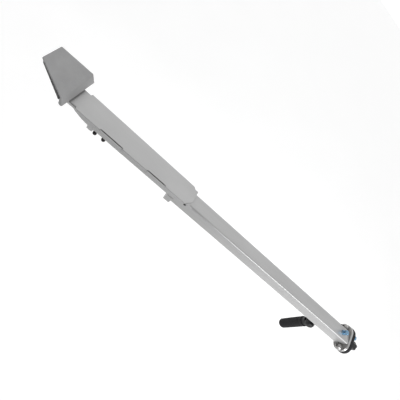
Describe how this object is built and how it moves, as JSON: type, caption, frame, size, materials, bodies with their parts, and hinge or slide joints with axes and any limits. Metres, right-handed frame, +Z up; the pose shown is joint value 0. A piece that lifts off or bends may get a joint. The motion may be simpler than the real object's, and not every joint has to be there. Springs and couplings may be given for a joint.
{
  "type": "swing gate opener arm",
  "caption": "Telescopic arm of a swing gate opener: hooded pivot, lidded rail, sliding square tube, release lever and an oval end fitting with a clamp knob.",
  "frame": {"origin": "centre of the flat foot of the pivot stud, at the bottom of the arm's pivot", "axes": "+X along the arm from the pivot to the gate, +Y to the arm's left, +Z up along the pivot stud"},
  "size_m": [1.082, 0.1004, 0.2674],
  "materials": {
    "painted_steel": "light grey powder coat, satin",
    "lid_paint": "light grey powder coat, satin",
    "hood_plastic": "mid grey fine-grained moulding",
    "black_plastic": "black fine-grained moulding",
    "black_rubber": "black, matt",
    "polished_steel": "polished",
    "zinc_steel": "bright zinc plate",
    "blue_zinc": "blue zinc plate",
    "black_steel": "black oxide",
    "aluminium": "machined",
    "bronze": "sintered bearing bronze",
    "nylon": "natural nylon"
  },
  "bodies": {
    "pivot_base": {"pivot_stud": "zinc_steel", "thrust_washer": "bronze", "top_washer": "zinc_steel", "pivot_nut": "zinc_steel"},
    "arm": {"rail": "painted_steel", "lid": "lid_paint", "hood": "hood_plastic", "hub_housing": "black_plastic", "hub_boss": "painted_steel", "lower_bush": "bronze", "upper_bush": "bronze", "hood_screw_rear_left": "zinc_steel", "hood_screw_rear_right": "zinc_steel", "hood_screw_front_left": "zinc_steel", "hood_screw_front_right": "zinc_steel", "stop_block": "aluminium", "stop_carriage": "zinc_steel", "mouth_guide": "nylon", "mouth_screw_left": "black_steel", "mouth_screw_right": "black_steel"},
    "clamp_screw_a": {"clamp_screw_rear": "black_steel"},
    "clamp_screw_b": {"clamp_screw_front": "black_steel"},
    "sliding_tube": {"tube": "painted_steel", "rear_collar": "painted_steel", "end_plug": "aluminium", "spindle_bush": "bronze", "top_bolt": "blue_zinc", "top_lock_nut": "blue_zinc", "side_bolt": "black_steel", "side_lock_nut": "black_steel", "lever_lug": "black_steel", "plunger_guide": "bronze", "plunger_spring": "black_steel"},
    "lever": {"lever_hub": "black_plastic", "rubber_grip": "black_rubber", "lever_pin": "black_steel"},
    "lock_pin": {"lock_plunger": "black_steel"},
    "gate_fitting": {"spindle": "black_steel", "end_plate": "polished_steel", "rubber_pad": "black_rubber", "dome_bolt_left": "polished_steel", "dome_bolt_right": "polished_steel", "locating_stud": "blue_zinc", "stud_nut": "blue_zinc", "jam_nut": "black_steel"},
    "knob": {"clamp_knob": "black_plastic"}
  },
  "joints": [
    {"name": "pivot_swing", "type": "hinge", "parent": "pivot_base", "child": "arm", "pos_m": [0, 0, 0], "axis": [0, 0, 1], "range_deg": [-90, 90]},
    {"name": "clamp_screw_rear_turn", "type": "hinge", "parent": "arm", "child": "clamp_screw_a", "pos_m": [0.0928, 0.0115, 0.004], "axis": [0, 0, 1], "continuous": true},
    {"name": "clamp_screw_front_turn", "type": "hinge", "parent": "arm", "child": "clamp_screw_b", "pos_m": [0.116, 0.014, 0.004], "axis": [0, 0, 1], "continuous": true},
    {"name": "tube_slide", "type": "slide", "parent": "arm", "child": "sliding_tube", "axis": [1, 0, 0], "range_m": [-0.17, 0]},
    {"name": "lever_turn", "type": "hinge", "parent": "sliding_tube", "child": "lever", "pos_m": [0.897, 0, -0.046], "axis": [0, 1, 0], "range_deg": [0, 30], "stiffness_Nm_per_rad": 0.5, "springref_deg": -17.19},
    {"name": "lock_pin_slide", "type": "slide", "parent": "sliding_tube", "child": "lock_pin", "axis": [0, 0, 1], "range_m": [-0.01, 0], "deforming": ["plunger_spring"]},
    {"name": "fitting_roll", "type": "hinge", "parent": "sliding_tube", "child": "gate_fitting", "pos_m": [0.986, 0, 0.004], "axis": [1, 0, 0], "range_deg": [0, 24]},
    {"name": "knob_turn", "type": "hinge", "parent": "gate_fitting", "child": "knob", "pos_m": [1.0305, 0, 0.004], "axis": [1, 0, 0], "continuous": true}
  ],
  "couplings": [
    {"joint": "lock_pin_slide", "follows": "lever_turn", "m_per_rad": -0.0188}
  ]
}
